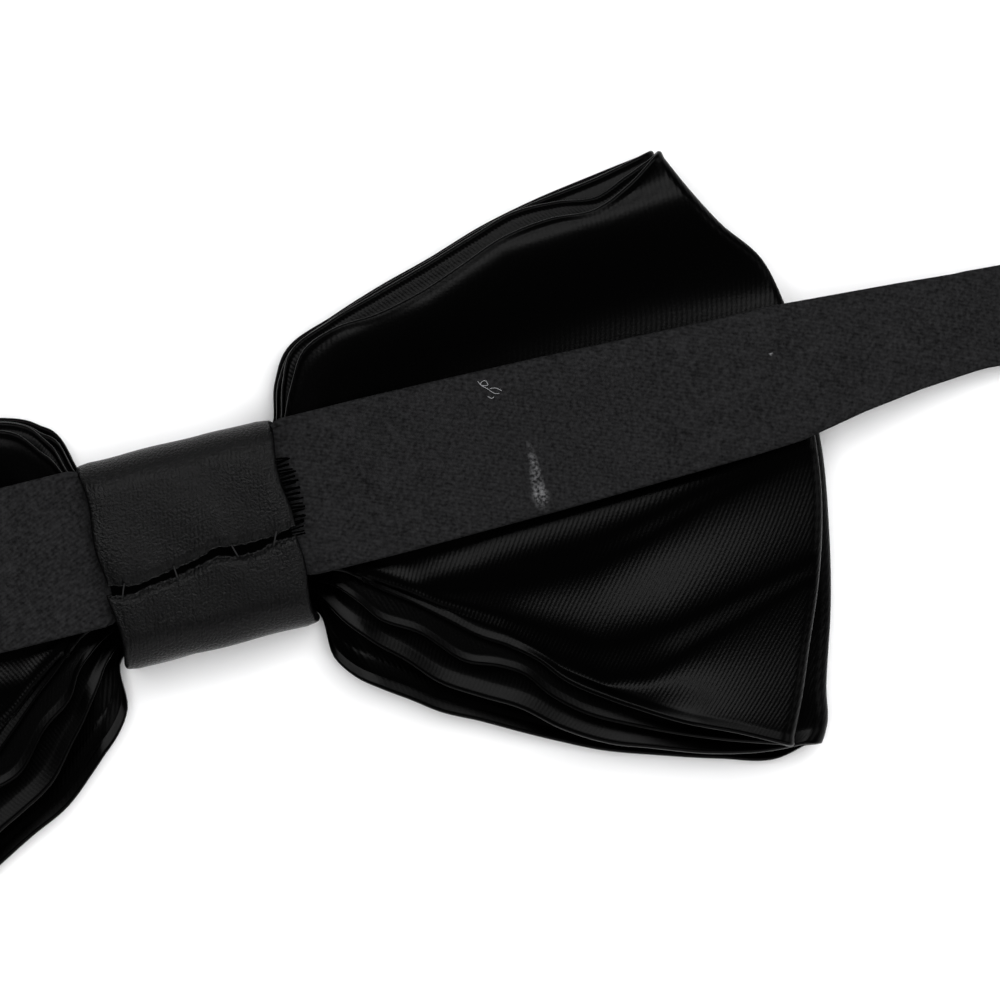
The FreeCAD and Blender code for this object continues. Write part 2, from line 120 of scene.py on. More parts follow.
# Each layer's lower edge is a flattened bead: its half thickness, the width of its turn and of its inner
# slope.
BEADS = {"back_near": (0.44, 0.32, 0.75), "back_far": (0.44, 0.32, 0.7), "front_near": (0.62, 0.4, 1.5),
         "front_far": (0.46, 0.35, 1.0)}
BEAD_SLOPE = 0.27
# How far the fold at the tip bulges past the line through TIPS.
TIP_BULGE = {"back": 0.45, "front": 0.85}
# The upper edges' roll: its radius, and the width over which the cloth thins behind it.
UPPER_ROLL = (0.30, 0.55)
# Rows of points along each layer and round the fold at the tip, and points across between the edges' own.
WING_STATIONS = 96
TURN_STATIONS = 8
ACROSS = 76
# The distance between the weave's ribs.
RIB_PITCH = 0.44

# The back bow's near layer between its lower and upper edges, as crests and valleys: how high each stands,
# from the knot to the tip, and where it runs.
RELIEF = [
    ((-0.9, -0.9, 0.75, 0.6),
     [(16, -8.9), (22.5, -13.9), (27.6, -17.7), (32, -22.1), (38.8, -27), (48, -31.7), (60, -36)]),
    ((-0.9, -0.9, -0.6, -0.35),
     [(16, -7.5), (22, -12), (27.6, -16), (32, -20.3), (36, -23.4), (40.2, -24.1), (46.7, -22.1), (53, -20.2),
      (60, -18)]),
    ((-0.1, -0.1, 0.7, 0.3),
     [(16, -7.2), (22, -11.0), (30.4, -15.3), (36.7, -18.7), (43.9, -18.9), (51.5, -17.3), (60, -15.8)]),
    ((-0.1, -0.1, -0.6, -0.3),
     [(16, -6.9), (20, -10.0), (26, -11.6), (30, -12.5), (37.6, -12.3), (43.9, -10.6), (50.3, -8.6),
      (60, -6.5)]),
    ((0.0, 0.25, 0.2, -0.1),
     [(16, -6.4), (20, -9.3), (26.4, -9.2), (33, -8.7), (38, -8.7), (43.9, -7.9), (50.3, -6.5), (60, -5)]),
    ((-0.1, -0.2, -0.3, -0.45),
     [(16, -5.8), (20, -6.9), (26, -6.4), (29, -5.3), (46, -3.6), (60, -2.6)]),
    ((0.0, 0.1, 0.0, 0.0),
     [(16, -4), (60, 0)]),
    ((-0.2, -0.5, -0.36, -0.2),
     [(16, 4), (30, 7.6), (60, 8.2)]),
    ((-0.1, -0.35, -0.58, -0.6),
     [(16, 8), (30, 10.0), (38.6, 11.3), (44.8, 12.3), (51.9, 12.3), (60, 11.6)]),
    ((0.3, 0.5, 0.5, 0.2),
     [(12, 10), (15, 14.4), (18.4, 16.2), (28, 17.7), (36.8, 20.8), (46.5, 21.3), (60, 22)]),
    ((0.0, 0.1, 0.1, -0.5),
     [(12, 12), (15, 16.4), (18.4, 17.9), (28, 19.4), (36.8, 22.6), (46.5, 23.1), (60, 26)]),
]
# The X of each of RELIEF's four heights, from the knot outwards.
RELIEF_REACH = (14, 28, 44, 60)
# How far every layer but "back_near" falls beside its upper edge.
UPPER_FALL = 0.7
# How strongly RELIEF's heights stand out, and the height of the pleats beside the knot.
RELIEF_SCALE = 1.12
PLEAT_HEIGHT = 0.04
# How much lower the left wing's upper edge is than the right wing's, beside the knot.
LEFT_SAG = 1.2
# How much further out the left wing's lower edge starts.
LEFT_SET_BACK = 0.8
# How far every layer but "back_near" rises beside its lower edge.
LOWER_LIFT = {"back_far": 0.9, "front_near": 1.1, "front_far": 1.2}


# ---- Curves --------------------------------------------------------------------------------------


def smoothstep(t):
    """0 to 1, level at both ends, as t goes from 0 to 1."""
    t = np.clip(t, 0, 1)
    return t * t * (3 - 2 * t)


def through(points, t):
    """Places at shares t of the way along a smooth curve through points."""
    p = np.array(points, float)
    along = np.concatenate([[0], np.cumsum(np.linalg.norm(np.diff(p, axis=0), axis=1))])
    slope = np.gradient(p, along, axis=0)
    x = np.clip(np.asarray(t, float), 0, 1) * along[-1]
    i = np.clip(np.searchsorted(along, x, side="right") - 1, 0, len(p) - 2)
    gap = along[i + 1] - along[i]
    w = ((x - along[i]) / gap)[..., None]
    gap = gap[..., None]
    start, end = p[i], p[i + 1]
    return ((2 * w**3 - 3 * w**2 + 1) * start + (w**3 - 2 * w**2 + w) * gap * slope[i]
            + (3 * w**2 - 2 * w**3) * end + (w**3 - w**2) * gap * slope[i + 1])


def eased(points, x):
    """Heights between points, level at each of them."""
    xs, ys = np.array(points, float).T
    i = np.clip(np.searchsorted(xs, x, side="right") - 1, 0, len(xs) - 2)
    w = smoothstep((x - xs[i]) / (xs[i + 1] - xs[i]))
    return ys[i] * (1 - w) + ys[i + 1] * w


def normals(grid):
    """Unit normals of a grid of points, (rows, columns, 3)."""
    cross = np.cross(np.gradient(grid, axis=0), np.gradient(grid, axis=1))
    return cross / np.maximum(np.linalg.norm(cross, axis=2, keepdims=True), 1e-12)


# ---- Meshes --------------------------------------------------------------------------------------


def mesh_object(name, points_mm, faces, uv=None):
    mesh = bpy.data.meshes.new(name)
    mesh.from_pydata((np.asarray(points_mm) * MM).tolist(), [], faces)
    mesh.validate()
    if uv is not None:
        layer = mesh.uv_layers.new(name="weave")
        for loop in mesh.loops:
            layer.data[loop.index].uv = uv[loop.vertex_index]
    for polygon in mesh.polygons:
        polygon.use_smooth = True
    mesh.update()
    obj = bpy.data.objects.new(name, mesh)
    bpy.context.scene.collection.objects.link(obj)
    return obj


def beaded_profile(depth, rim, turn, slope_width, half):
    """Half the cloth's thickness at a depth in from a beaded edge: the turn, a straight fall, then thinner
    cloth."""
    nose = rim * np.sqrt(np.maximum(1 - np.maximum(1 - depth / turn, 0) ** 2, 0))
    fallen = nose - BEAD_SLOPE * np.clip(depth - turn, 0, slope_width)
    settled = smoothstep((depth - turn - slope_width) / 2.4)
    return fallen + (half - fallen) * settled


def roll_profile(depth, roll, half, shoulder=None):
    """Half the cloth's thickness at a depth in from its edge: a rolled rim, then thinner cloth."""
    rim = np.sqrt(np.maximum(roll**2 - np.maximum(roll - depth, 0) ** 2, 0))
    t = (depth - roll) / (shoulder or 1.6 * roll)
    fall = 0.35 * smoothstep(t) + 0.65 * np.clip(t, 0, 1)
    return np.where(depth < roll, rim, roll + (half - roll) * fall)


def rim_steps(roll, shoulder=None):
    """Depths from the edge at which a rolled rim needs points."""
    turn = [roll * (1 - math.cos(a)) for a in np.linspace(0, math.pi / 2, 7)]
    return np.array(turn + [roll + (shoulder or 1.6 * roll) * k
                            for k in (0.15, 0.3, 0.45, 0.6, 0.75, 0.9, 1.1)])


def across_shares(width, roll, count):
    """Shares of the way across cloth of this width, close together at the rims."""
    rim = rim_steps(roll) / width
    middle = np.linspace(rim[-1], 1 - rim[-1], count)[1:-1]
    return np.concatenate([rim, middle, 1 - rim[::-1]])


def doubled(centre, half, name, uv, pressed=None):
    """A closed skin round a surface: half its thickness out on each side, meeting at its long edges.

    pressed says, from 0 to 1, where the weave is pressed smooth.
    """
    rows, columns, _ = centre.shape
    n = normals(centre)
    front = centre + n * half[..., None]
    back = centre - n * half[..., None]
    ring = np.concatenate([front, back[:, -2:0:-1]], axis=1)
    uv_ring = np.concatenate([uv, uv[:, -2:0:-1]], axis=1)
    count = ring.shape[1]
    faces = []
    for i in range(rows - 1):
        a = i * count
        for j in range(count):
            k = (j + 1) % count
            faces.append((a + j, a + k, a + count + k, a + count + j))
    for i, flip in ((0, True), (rows - 1, False)):
        a = i * count
        for j in range(columns - 1):
            near, near_next = j, j + 1
            far, far_next = (count - j) % count, (count - j - 1) % count
            quad = [a + near, a + near_next, a + far_next, a + far]
            quad = list(dict.fromkeys(quad))
            faces.append(tuple(quad[::-1] if not flip else quad))
    obj = mesh_object(name, ring.reshape(-1, 3), faces, uv_ring.reshape(-1, 2))
    if pressed is not None:
        values = np.concatenate([pressed, pressed[:, -2:0:-1]], axis=1)
        obj.data.attributes.new("pressed", "FLOAT", "POINT").data.foreach_set("value", values.ravel())
    return obj


# ---- The wings -----------------------------------------------------------------------------------


def patch(lower, upper, tip, u, s):
    """Places on the sheet between its lower and upper edges: u from the knot to the tip, s from lower to
    upper."""
    low = through(lower + tip[:1], u)
    high = through(upper + tip[-1:], u)
    start = np.array(lower[0]) + s[..., None] * (np.array(upper[0]) - np.array(lower[0]))
    end = through(tip, s)
    corners = [np.array(p, float) for p in (lower[0], upper[0], tip[0], tip[-1])]
    s, u = s[..., None], u[..., None]
    bilinear = ((1 - u) * ((1 - s) * corners[0] + s * corners[1])
                + u * ((1 - s) * corners[2] + s * corners[3]))
    return (1 - s) * low + s * high + (1 - u) * start + u * end - bilinear


# The place inside the knot's side that the folds spread from.
FOLD_CENTRE = (8.0, 0.0)


def bearings(x, y):
    """Distance and bearing in degrees from the place that the folds spread from."""
    dx, dy = x - FOLD_CENTRE[0], y - FOLD_CENTRE[1]
    return np.hypot(dx, dy), np.degrees(np.arctan2(dy, np.maximum(dx, 0.5)))


def pleats(x, y, phase):
    """Small pleats beside the knot, where the cloth is gathered."""
    reach, bearing = bearings(x, y)
    wave = np.sin(np.radians(bearing) * 26 + phase)
    return PLEAT_HEIGHT * wave * smoothstep(reach / 6) * (1 - smoothstep((reach - 6) / 14))


def radial_folds(x, y, heights):
    """Height of folds that widen away from the knot, from their heights at some bearings."""
    reach, bearing = bearings(x, y)
    return eased(heights, bearing) * np.clip(reach / 26, 0, 1.3) * (1 - 0.55 * smoothstep((reach - 40) / 16))


def relief(x, y):
    """Height of the folds on the back bow's near layer."""
    height = None
    for heights, line in RELIEF:
        at = np.interp(x, RELIEF_REACH, heights)
        line_y = np.interp(x, *np.array(line, float).T)
        if height is None:
            height = at
        else:
            height = height + (at - before) * smoothstep((y - before_y) / np.maximum(line_y - before_y, 0.2))
        before, before_y = at, line_y
    return RELIEF_SCALE * height * smoothstep((x - 11) / 9)


def edge_ridges(depth, x):
    """Two thin ridges beside the outermost edge, where its hem is pressed."""
    ridges = np.exp(-((depth - 1.75) / 0.22) ** 2) + np.exp(-((depth - 2.45) / 0.24) ** 2)
    return 0.22 * ridges * smoothstep((x - 10) / 3) * (1 - smoothstep((x - 40) / 12))


def level(heights, x):
    """A layer's height at x: at the knot, in the middle of the wing and at the tip."""
    return through([(0, heights[0]), (20, 0.5 * heights[0] + 0.5 * heights[1]), (38, heights[1]),
                    (62, heights[2])],
                   x / 62)[..., 1]


def layer_height(layer, x, y, low, high, heights, fold, phase):
    """Height of a layer's middle surface. low and high are the distances from its lower and upper edges."""
    height = level(heights, x) + pleats(x, y, phase)
    if fold is None:
        return height + relief(x, y)
    near_lower = ((1 - smoothstep((low - 4) / 9)) * smoothstep((x - 10) / 4)
                  * (1 - 0.6 * smoothstep((x - 38) / 16)))
    near_upper = (1 - smoothstep(high / 2.8)) * smoothstep((x - 10) / 4)
    folded = radial_folds(x, y, fold) * smoothstep((low - 2) / 6)
    return height + folded + LOWER_LIFT[layer] * near_lower - UPPER_FALL * near_upper


def wing_shares(width, turn, slope_width):
    """Shares of the way across a wing: close together over the beaded lower edge and the rolled upper one."""
    round_part = turn * (1 - np.cos(np.linspace(0, math.pi / 2, 7)))
    inner_part = turn + slope_width * np.array([0.12, 0.3, 0.5, 0.7, 0.9, 1.05, 1.3, 1.7])
    lower = np.concatenate([round_part, inner_part]) / width
    upper = rim_steps(*UPPER_ROLL) / width
    middle = np.linspace(lower[-1], 1 - upper[-1], ACROSS)[1:-1]
    return np.concatenate([lower, middle, 1 - upper[::-1]])


def bow_wing(bow, side, near_z, far_z, near_folds, far_folds, seed):
    """One wing of one bow: out along the near layer, round the tip and back along the far one."""
    tip = TIPS[bow]
    rng = np.random.default_rng(seed)
    phase = rng.uniform(0, 6.28, 4)
    edges = [(LOWER_EDGES[f"{bow}_{layer}"], UPPER_EDGES[f"{bow}_{layer}"]) for layer in ("near", "far")]
    turn_radius = (near_z[2] - far_z[2]) / 2
    out = np.sin(np.linspace(0, math.pi / 2, WING_STATIONS)) * 0.35 + np.linspace(0, 1, WING_STATIONS) * 0.65
    rows = []
    for layer, (lower, upper), heights, fold, u_all in (("near", edges[0], near_z, near_folds, out),
                                                        ("far", edges[1], far_z, far_folds, out[::-1])):
        bead = BEADS[f"{bow}_{layer}"]
        span = patch(lower, upper, tip, np.array([0.0, 1.0]), np.array([0.5, 0.5]))
        shorter = 1 - (turn_radius + bead[0] - TIP_BULGE[bow]) / np.linalg.norm(span[1] - span[0])
        for u in u_all:
            ends = patch(lower, upper, tip, np.array([u, u]), np.array([0.0, 1.0]))
            width = max(np.linalg.norm(ends[1] - ends[0]), 8)
            s = wing_shares(width, *bead[1:])
            xy = patch(lower, upper, tip, np.full_like(s, u * shorter), s)
            z = layer_height(f"{bow}_{layer}", xy[:, 0], xy[:, 1], s * width, (1 - s) * width, heights,
                             fold, phase[0])
            if (bow, layer) == ("front", "far"):
                z = z + edge_ridges(s * width, xy[:, 0])
            half = np.where(s < 0.5, beaded_profile(s * width, *bead, CLOTH_HALF),
                            roll_profile((1 - s) * width, UPPER_ROLL[0], CLOTH_HALF, UPPER_ROLL[1]))
            smooth = 1 - smoothstep((s * width - bead[1] - bead[2]) / 0.8)
            rows.append((half, (s - 0.5) * width, np.column_stack([xy, z]), smooth))
    near, far = rows[:WING_STATIONS], rows[WING_STATIONS:]
    start, end = near[-1][2], far[0][2]
    before = near[-2][2]
    outward = start - before
    outward[:, 2] = 0
    outward /= np.linalg.norm(outward, axis=1, keepdims=True)
    turn = []
    for angle in np.linspace(0, math.pi, TURN_STATIONS + 2)[1:-1]:
        middle = (start + end) / 2
        half = (start - end) / 2
        turn.append(middle + half * math.cos(angle) + outward * turn_radius * math.sin(angle))
    centre = np.array([r[2] for r in near] + turn + [r[2] for r in far])
    offsets = np.array([r[1] for r in near] + [near[-1][1]] * len(turn) + [r[1] for r in far])
    pressed = np.array([r[3] for r in near] + [near[-1][3]] * len(turn) + [r[3] for r in far])
    blend = np.linspace(0, 1, len(turn) + 2)[1:-1]
    half = np.array([r[0] for r in near] + [near[-1][0] * (1 - b) + far[0][0] * b for b in blend]
                    + [r[0] for r in far])
    length = np.concatenate([[0], np.cumsum(np.linalg.norm(np.diff(centre[:, ACROSS // 2], axis=0), axis=1))])
    uv = np.stack([np.repeat(length[:, None], offsets.shape[1], axis=1), offsets], axis=2)
    if side == "left":
        centre = centre * np.array([-1, 1, 1])
        wobble = 0.35 * np.sin(centre[..., 0] / 4.1 + phase[1]) * np.sin(centre[..., 1] / 5.3 + phase[2])
        out = np.abs(centre[..., 0])
        centre[..., 1] += wobble * smoothstep((out - 12) / 10)
        beside_knot = 1 - smoothstep((out - 12) / 6)
        centre[..., 0] -= LEFT_SET_BACK * smoothstep((-centre[..., 1] - 7) / 3) * beside_knot
        centre[..., 1] -= (LEFT_SAG * smoothstep((centre[..., 1] - 10) / 6) * smoothstep((out - 11) / 2)
                           * (1 - smoothstep((out - 22) / 14)))
    return doubled(centre, half, f"{bow}_bow_{side}", uv, pressed)


# ---- The knot ------------------------------------------------------------------------------------

SEAM_LINE = [(-9.8, -2.3), (-7.1, -2.8), (-5.8, -2.6), (-2.8, -2.2), (0.2, -1.6), (1.6, -1.2), (3.3, -1.5),
             (5.5, -1.6), (7.5, -1.3), (9.8, -1.0)]
# Half the width of the gap between the seam's lips, across the knot.
SEAM_GAP = ((-9.8, -7.8, -6, -3, 0, 1.5, 4, 6, 7.6, 8.5, 9.8),
            (0.48, 0.42, 0.26, 0.36, 0.30, 0.42, 0.52, 0.48, 0.22, 0.36, 0.5))
SEAM_THREADS = [-8.2, -2.7, 3.5, 7.7]
# Half the knot's width, where its sides are.
SIDE_X = 9.8
# Half the wrap's thickness, and the rolls along its sides and along the seam's lips.
WRAP_HALF = 0.62
WRAP_ROLL = 0.5
LIP_ROLL = 0.3
# How far the wrap's middle surface lies inside the CAD shell, the radius of its corners, and how far its top
# falls from the middle to the corners.
WRAP_INSET = 0.72
WRAP_CORNER = 2.9
CROWN_FALL = 0.95


def knot_wrap():
    """The wrap: from one lip of the seam over the top, the front and the bottom to the other lip."""
    low, high = [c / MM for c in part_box("knot_wrap_shell")]
    half_y, top, bottom = high.y - WRAP_INSET, high.z - WRAP_INSET, low.z + WRAP_INSET
    corner = WRAP_CORNER
    across = across_shares(2 * high.x, WRAP_ROLL, 70)
    x = (across * 2 - 1) * high.x
    seam = through(SEAM_LINE, across)[:, 1]
    stations = 260
    outline = []
    for cy, cz, start in ((half_y - corner, top - corner, 90), (half_y - corner, bottom + corner, 0),
                          (-half_y + corner, bottom + corner, -90), (-half_y + corner, top - corner, -180)):
        for a in np.radians(np.linspace(start, start - 90, 12)):
            outline.append((cy + corner * math.cos(a), cz + corner * math.sin(a)))
    rows = []
    for column, seam_y in enumerate(seam):
        gap = np.interp(x[column], *SEAM_GAP) + 0.05 * math.sin(x[column] * 6.1 + 1)
        path = [(seam_y + gap, top)] + outline + [(seam_y - gap, top)]
        flat = polyline(path, np.linspace(0, 1, stations))
        rows.append(np.column_stack([np.full(stations, x[column]), flat]))
    centre = np.array(rows).transpose(1, 0, 2)
    away = np.minimum(np.arange(stations), np.arange(stations)[::-1])[:, None]
    around = away * np.linalg.norm(centre[1, 0] - centre[0, 0])
    near_lip, past_lip = np.exp(-around / 1.2), np.exp(-around / 4)
    pucker = near_lip * (0.07 * np.sin(x * 2.3 + 0.6) - 0.10) + past_lip * 0.05 * np.sin(x * 0.8)
    share = np.linspace(0, 1, stations)[:, None]
    creases = 0.07 * np.sin(share * 31 + x * 0.16) * np.sin(x * 0.45 + share * 9)
    creases = creases + 0.04 * np.sin(x * 0.8 + share * 17)
    crown = CROWN_FALL * (centre[..., 1] / high.y) ** 2
    centre[..., 2] -= crown * smoothstep((centre[..., 2] - bottom - 4) / (top - bottom - 4))
    n = normals(centre)
    sign = 1 if n[stations // 6, 35, 1] > 0 else -1
    flat_front = smoothstep((centre[..., 2] - 0.9) / 2)
    centre = centre + n * sign * ((pucker + creases * flat_front - 0.05)[..., None])
    centre[..., 0] += 0.22 * np.sign(x) * np.sin(share * 40 + np.sign(x)) * smoothstep((np.abs(x) - 6) / 3.5)
    depth_x = np.minimum(across, 1 - across) * 2 * high.x
    half = np.minimum(roll_profile(depth_x, WRAP_ROLL, WRAP_HALF)[None, :],
                      roll_profile(around + 0.02, LIP_ROLL, WRAP_HALF))
    length = np.linspace(0, 60, stations)[:, None] + 0 * x
    uv = np.stack([length, x + 0 * length], axis=2)
    return doubled(centre, half, "knot_wrap", uv)


def polyline(points, t):
    """Places at shares t of the length along straight runs between points."""
    p = np.array(points, float)
    along = np.concatenate([[0], np.cumsum(np.linalg.norm(np.diff(p, axis=0), axis=1))])
    return np.column_stack([np.interp(t * along[-1], along, p[:, k]) for k in range(2)])


def thread(name, points_mm, radius_mm):
    """A closed tube along a smooth curve."""
    p = np.array(points_mm, float)
    t = np.linspace(0, 1, 6 * len(p))
    path = through(p, t)
    tangent = np.gradient(path, axis=0)
    tangent /= np.linalg.norm(tangent, axis=1, keepdims=True)
    side = np.cross(tangent, [0.1, 0.2, 1.0])
    side /= np.linalg.norm(side, axis=1, keepdims=True)
    other = np.cross(tangent, side)
    sides = 8
    ring = []
    for a in np.linspace(0, 2 * math.pi, sides, endpoint=False):
        ring.append(path + radius_mm * (math.cos(a) * side + math.sin(a) * other))
    points = np.array(ring).transpose(1, 0, 2)
    faces = []
    for i in range(len(path) - 1):
        for j in range(sides):
            k = (j + 1) % sides
            faces.append((i * sides + j, i * sides + k, (i + 1) * sides + k, (i + 1) * sides + j))
    faces.append(tuple(range(sides))[::-1])
    faces.append(tuple((len(path) - 1) * sides + j for j in range(sides)))
    return mesh_object(name, points.reshape(-1, 3), faces)


def joined(name, objects):
    """One object in place of several."""
    with bpy.context.temp_override(active_object=objects[0], object=objects[0],
                                   selected_editable_objects=objects, selected_objects=objects):
        bpy.ops.object.join()
    objects[0].name = name
    objects[0].data.name = name
    return objects[0]


def seam_threads():
    """Short stitches across the seam, each a little askew."""
    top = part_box("knot_wrap_shell")[1].z / MM
    stitches = []
    for i, x in enumerate(SEAM_THREADS):
        y = through(SEAM_LINE, np.array([(x + SIDE_X) / (2 * SIDE_X)]))[0, 1]
        lean = 0.35 * math.sin(2.3 * i + 1)
        points = [(x - lean, y - 0.75, top - 0.75), (x - 0.6 * lean, y - 0.45, top - 0.28),
                  (x, y, top - 0.12), (x + 0.6 * lean, y + 0.45, top - 0.28),
                  (x + lean, y + 0.75, top - 0.75)]
        stitches.append(thread(f"seam_thread_{i}", points, 0.08))
    return joined("seam_threads", stitches)


def seam_hem_and_shade():
    """The turned-in satin between the lips of the seam, as a flat black sheet: painted shade in the gap as
    well as the hem.
    """
    floor_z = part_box("knot_wrap_shell")[1].z / MM - 1.15
    share = np.linspace(0.02, 0.98, 60)
    line = through(SEAM_LINE, share)
    across = np.array([-0.75, -0.4, 0, 0.4, 0.75])
    x = np.repeat(line[:, :1], len(across), axis=1)
    y = line[:, 1:] + across
    z = floor_z + 0.03 * np.sin(x * 2.2) + 0 * y
    half = np.repeat(np.array([[0.02, 0.07, 0.08, 0.07, 0.02]]), len(share), axis=0)
    return doubled(np.stack([x, y, z], axis=2), half, "knot_seam_hem_and_shade", np.stack([x, y], axis=2))


def frayed_side_and_shade():
    """Black yarns that stick out from the knot's right side, over the band: frayed ends, and painted shade
    where the band goes in under the knot.
    """
    rng = np.random.default_rng(5)
    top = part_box("neck_band_right_inner")[1].z / MM
    yarns = []
    for i, y in enumerate(np.linspace(-1.5, 6.4, 26)):
        reach = 0.7 + 0.9 * math.sin(math.pi * (i + 2) / 30) * rng.uniform(0.5, 1.1)
        droop = rng.uniform(0.05, 0.25)
        lean = rng.uniform(-0.35, 0.35)
        points = [(SIDE_X - 0.7, y, top + 0.1), (SIDE_X, y + 0.3 * lean, top + 0.12),
                  (SIDE_X + 0.6 * reach, y + 0.7 * lean, top + 0.1), (SIDE_X + reach, y + lean, top - droop)]
        yarns.append(thread(f"yarn_{i}", points, rng.uniform(0.07, 0.13)))
    return joined("knot_side_fringe_and_shade", yarns)


# ---- The neck band -------------------------------------------------------------------------------

BAND_THICKNESS = 1.05
# Where the band's inner stretches end and its outer ones start.
SPLIT = 90.0
# Half the width of the straps and of the band's narrow ends.
BAND_NARROW_HALF = 5.0
# The radius of the hook's and the eye's wire, and the radius and thickness of the straps' turns round it.
WIRE = 0.8
LOOP_RADIUS = 1.4
LOOP_THICKNESS = 0.86
# How far short of the eye's bar the band's left end leaves its level run for the turn.
TURN_START = 6.1
# The strap that the hook's fold draws out lies this far above the band's middle.
DRAWN_LIFT = 0.87
DRAWN_THICKNESS = 0.36
RETURN_THICKNESS = 0.78
# The tab's turn round the adjuster's middle bar.
TAB_RADIUS = 0.81
TAB_THICKNESS = 0.38


def cad_height(node, x, y):
    """(bottom, top) of a CAD node above a place, in millimetres."""
    mesh = bpy.data.objects[node].data
    tree = BVHTree.FromPolygons([v.co for v in mesh.vertices], [p.vertices for p in mesh.polygons])
    found = []
    for z, dz in ((-1, 1), (1, -1)):
        place = tree.ray_cast(Vector((x, y, z)), Vector((0, 0, dz)))[0]
        if place is None:
            return None
        found.append(place.z / MM)
    return found


def band_half_width(x):
    """Half the band's width, which narrows past the wing's tip."""
    widths = [(0, 7.3), (9.3, 7.4), (10.8, 8.0), (20, 8.0), (36, 7.7), (61, 6.9), (67.8, 6.05), (74, 5.45),
              (80, 5.0), (300, 5.0)]
    xs, ws = np.array(widths).T
    return np.interp(x, xs, ws)


def band_drift(x):
    """How far the right side of the band curves up, in Y, past the wing's tip."""
    return np.interp(x, (56, 61, 67.8, 74, 81, 89, 97), (0, 0.15, 0.58, 0.8, 0.8, 0.3, 0))


def entry_pleats(x, y):
    """Small pleats where the band goes into the knot."""
    x = np.abs(x)
    wave = np.sin(y * 4.6 + 0.8 * np.sin(y * 1.1)) + 0.4 * np.sin(y * 9.7 + 1)
    dip = 0.8 * (1 - smoothstep((x - 9.6) / 2.6)) * smoothstep((x - 7) / 2)
    return 0.28 * wave * smoothstep((x - 8.5) / 1.2) * (1 - smoothstep((x - 10) / 3.2)) - dip


def strap(name, path, half_width, centre_y, thickness=1.0, ripple=0.0, side=1):
    """A strap along a path of (x, z) in millimetres, across Y."""
    p = np.array(path, float)
    along = np.concatenate([[0], np.cumsum(np.linalg.norm(np.diff(p, axis=0), axis=1))])
    half = thickness / 2
    widths = np.array([half_width(x) if callable(half_width) else half_width for x in np.abs(p[:, 0])])
    rows, shares = [], []
    roll = half * 0.85
    for (x, z), w in zip(p, widths):
        s = across_shares(2 * w, roll, 24)
        drift = band_drift(x) if callable(half_width) and side > 0 else 0.0
        y = centre_y + drift + (2 * s - 1) * w
        rows.append(np.column_stack([np.full_like(y, side * x), y, np.full_like(y, z)]))
        shares.append(s)
    centre = np.array(rows)
    shares = np.array(shares)
    centre[..., 2] += (ripple * np.sin(centre[..., 0] / 7.3 + centre[..., 1] / 3.1)
                       * np.sin(centre[..., 1] / 2.7))
    centre[..., 2] += entry_pleats(centre[..., 0], centre[..., 1])
    depth = np.minimum(shares, 1 - shares) * 2 * widths[:, None]
    thick = roll_profile(depth, roll, half)
    uv = np.stack([np.repeat(along[:, None], shares.shape[1], axis=1), centre[..., 1]], axis=2)
    return doubled(centre, thick, name, uv)


def band_path(side, start, end, step=0.6):
    """(x, z) along the middle of the CAD band's stretches on one side, in millimetres from the knot's
    middle."""
    sign = 1 if side == "right" else -1
    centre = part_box("neck_band_centre")
    y = (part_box(f"neck_band_{side}_outer")[0].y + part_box(f"neck_band_{side}_outer")[1].y) / 2
    path = []
    for x in np.arange(start, end, step).tolist() + [end]:
        heights = None
        for part in ("inner", "outer"):
            node = f"neck_band_{side}_{part}"
            low, high = [c.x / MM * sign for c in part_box(node)]
            if min(low, high) + 0.02 < x < max(low, high) - 0.02:
                heights = cad_height(node, sign * x * MM, y)
        if heights:
            path.append((x, sum(heights) / 2))
        elif x < 10.6:
            path.append((x, (centre[0].z + centre[1].z) / 2 / MM))
    return path


def bend(x, z, radius, start, end, steps=14):
    """(x, z) round a bar, from one bearing to another in degrees."""
    return [(x + radius * math.cos(a), z + radius * math.sin(a))
            for a in np.radians(np.linspace(start, end, steps))]


def run(a, b, step=0.8):
    """(x, z) evenly along a straight run, without its last point."""
    count = max(2, int(math.dist(a, b) / step))
    return [(a[0] + (b[0] - a[0]) * t, a[1] + (b[1] - a[1]) * t)
            for t in np.linspace(0, 1, count, endpoint=False)]


def turned_strap(name, lower, upper, bar_x, bar_z, radius, thickness, side=1, outward=1):
    """A strap that comes along its lower run, goes round a bar and comes back along its upper run."""
    turn = bend(bar_x, bar_z, radius, -90, -90 + 180 * outward)
    path = []
    for a, b in zip(lower, lower[1:] + [turn[0]]):
        path += run(a, b)
    path += turn
    for a, b in zip([turn[-1]] + upper, upper):
        path += run(a, b)[1:]
    path.append(upper[-1])
    return strap(name, path, BAND_NARROW_HALF, band_y, thickness, side=side)


def end_x(node, side):
    """The node's end that is further from the knot on the right (1) or left (-1), in millimetres from the
    knot."""
    return (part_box(node)[1].x if side > 0 else -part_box(node)[0].x) / MM


def near_x(node, side):
    """The node's end that is nearer to the knot, as for end_x."""
    return (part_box(node)[0].x if side > 0 else -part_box(node)[1].x) / MM


# ---- Materials -----------------------------------------------------------------------------------


class Nodes:
    """A material's node tree, with short names for what this scene uses."""

    def __init__(self, name):
        self.material = bpy.data.materials.new(name)
        self.material.use_nodes = True
        self.tree = self.material.node_tree
        self.shader = self.tree.nodes["Principled BSDF"]

    def add(self, kind, **values):
        node = self.tree.nodes.new(kind)
        for key, value in values.items():
            setattr(node, key, value)
        return node

    def link(self, out, into):
        self.tree.links.new(out, into)

    def math(self, operation, a, b=0.0):
        node = self.add("ShaderNodeMath", operation=operation)
        for socket, value in zip(node.inputs, (a, b)):
            if isinstance(value, (int, float)):
                socket.default_value = value
            else:
                self.link(value, socket)
        return node.outputs[0]

    def set(self, **values):
        for key, value in values.items():
            self.shader.inputs[key.replace("_", " ")].default_value = value


